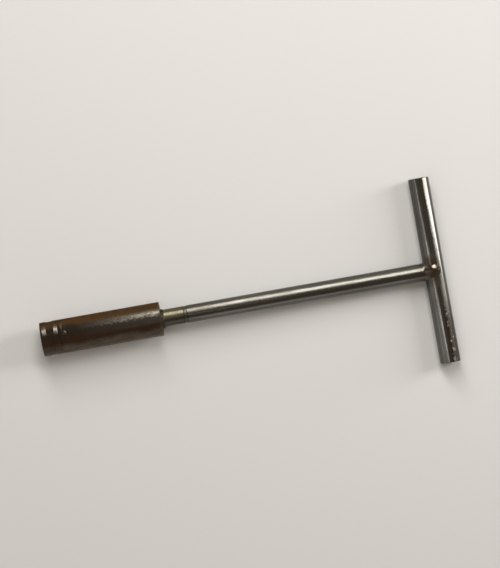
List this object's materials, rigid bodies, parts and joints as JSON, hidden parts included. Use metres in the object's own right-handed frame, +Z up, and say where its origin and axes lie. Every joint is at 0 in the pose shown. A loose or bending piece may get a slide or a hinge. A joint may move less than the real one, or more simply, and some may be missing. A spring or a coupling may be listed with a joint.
{
  "type": "fire hydrant wrench",
  "caption": "Welded T-handled hydrant key: a round cross bar on a round shaft, with a deep tubular socket that has a pentagon pocket for the hydrant's operating nut.",
  "frame": {"origin": "centre of the socket's mouth, on the tool's long axis", "axes": "+X from the socket's mouth to the handle, Y along the cross bar, +Z up with the tool lying flat"},
  "size_m": [0.608, 0.278, 0.0511],
  "materials": {
    "nose_steel": "turned, dark oxide, lands worn bright",
    "barrel_steel": "dark brown oxide, oiled, semi-gloss",
    "shaft_steel": "bright drawn bar, dulled brown, glossy",
    "handle_steel": "bright drawn bar, hand-worn, some pits",
    "weld_metal": "brushed weld, heat-tinted brown"
  },
  "bodies": {
    "root": {"drive_nose": "nose_steel", "nose_weld": "weld_metal", "plug_welds": "weld_metal", "barrel": "barrel_steel", "rear_plug": "barrel_steel", "rear_weld": "weld_metal", "inner_weld": "weld_metal", "neck_weld": "weld_metal", "shaft": "shaft_steel", "handle_weld": "weld_metal", "handle_bar": "handle_steel"}
  },
  "joints": []
}
